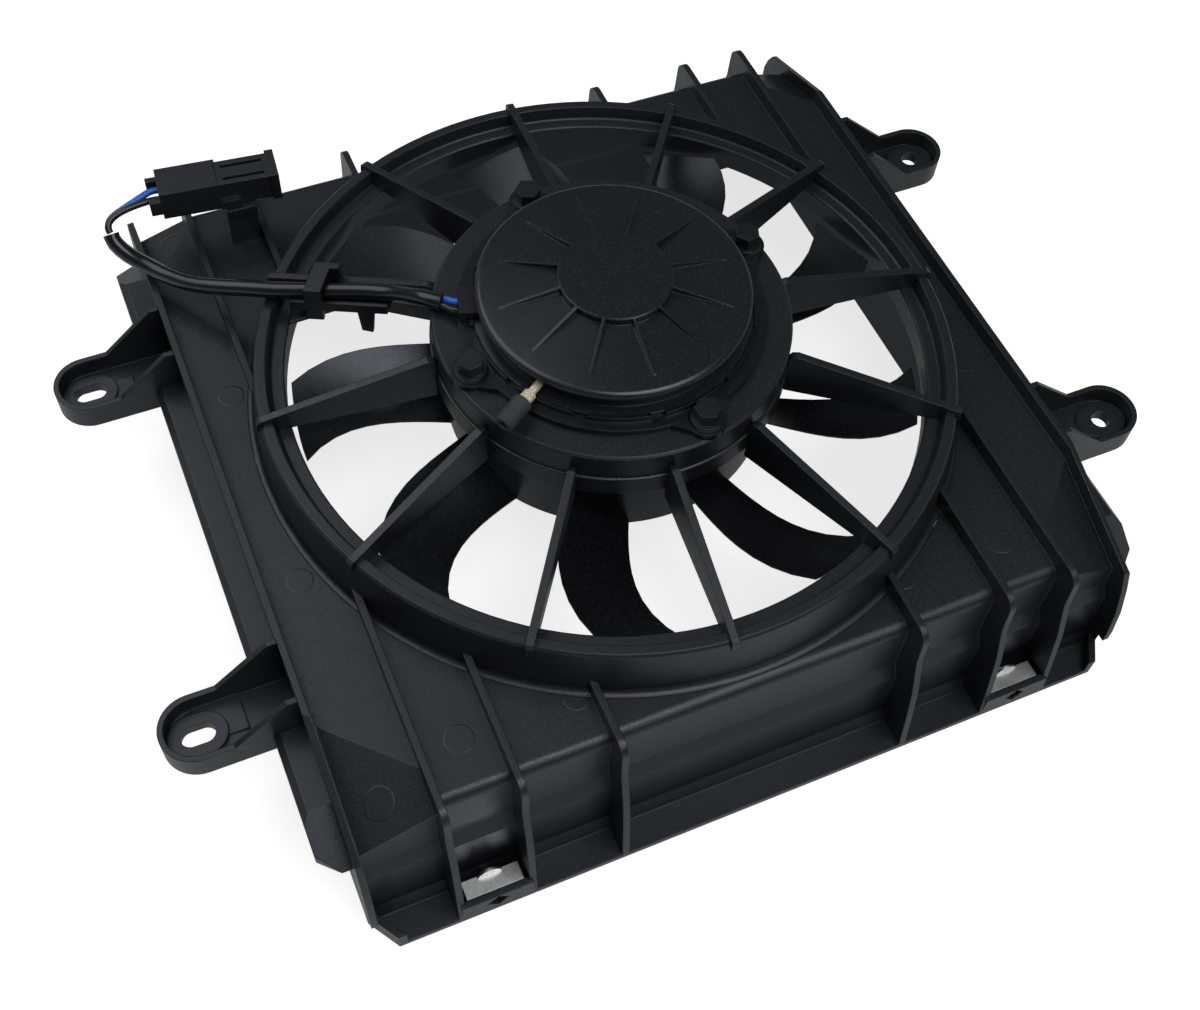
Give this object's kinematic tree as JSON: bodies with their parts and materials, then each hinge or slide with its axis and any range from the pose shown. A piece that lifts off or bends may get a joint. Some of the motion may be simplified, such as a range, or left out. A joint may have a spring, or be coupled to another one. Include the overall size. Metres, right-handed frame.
{
  "type": "intercooler fan",
  "caption": "Electric axial fan in a ribbed black plenum shroud with a spoked motor seat, mounting ears and a sleeved lead.",
  "frame": {"origin": "fan axis, in the plane of the shroud's bottom edge", "axes": "+Z along the fan axis, out of the shroud towards the motor cap; +X along the long side, ears at both ends; +Y across the box, towards the connector"},
  "size_m": [0.465, 0.374, 0.146],
  "materials": {
    "moulding": "satin",
    "fan_plastic": "gloss",
    "can_metal": "satin",
    "cap_plastic": "satin",
    "screw_black": "satin",
    "insert_brass": "satin",
    "steel": "satin",
    "spring_steel": "gloss",
    "copper": "satin",
    "magnet": "matte",
    "carbon": "matte",
    "nipple_plastic": "satin",
    "hose_rubber": "matte",
    "blue_insulation": "satin",
    "black_insulation": "satin",
    "sleeve_plastic": "gloss",
    "connector_plastic": "satin",
    "seal_rubber": "matte"
  },
  "bodies": {
    "housing": {"shroud": "moulding", "fan_ring": "moulding", "ears": "moulding", "motor_seat": "moulding", "spokes": "moulding", "cable_channel": "moulding", "motor_can": "can_metal", "motor_cap": "cap_plastic", "cap_seal": "hose_rubber", "magnets": "magnet", "brush_plate": "cap_plastic", "brushes": "carbon", "brush_springs": "spring_steel", "rear_bearing": "steel", "front_bearing": "steel", "motor_screws": "screw_black", "screw_inserts": "insert_brass", "vent_nipple": "nipple_plastic", "vent_hose": "hose_rubber", "cable_grommet": "cap_plastic", "blue_wire": "blue_insulation", "black_wire": "black_insulation", "cable_sleeve": "sleeve_plastic", "connector_housing": "connector_plastic", "connector_lock": "connector_plastic", "wire_seals": "seal_rubber", "terminals": "copper", "connector_post": "moulding", "clip_nuts": "spring_steel"},
    "rotor": {"shaft": "steel", "armature": "steel", "windings": "copper", "commutator": "copper", "fan_hub": "fan_plastic", "fan_blades": "fan_plastic", "drive_pin": "steel", "shaft_clip": "spring_steel"}
  },
  "joints": [
    {"name": "fan_spin", "type": "hinge", "parent": "housing", "child": "rotor", "pos_m": [0, 0, 0.081], "axis": [0, 0, 1], "continuous": true}
  ]
}
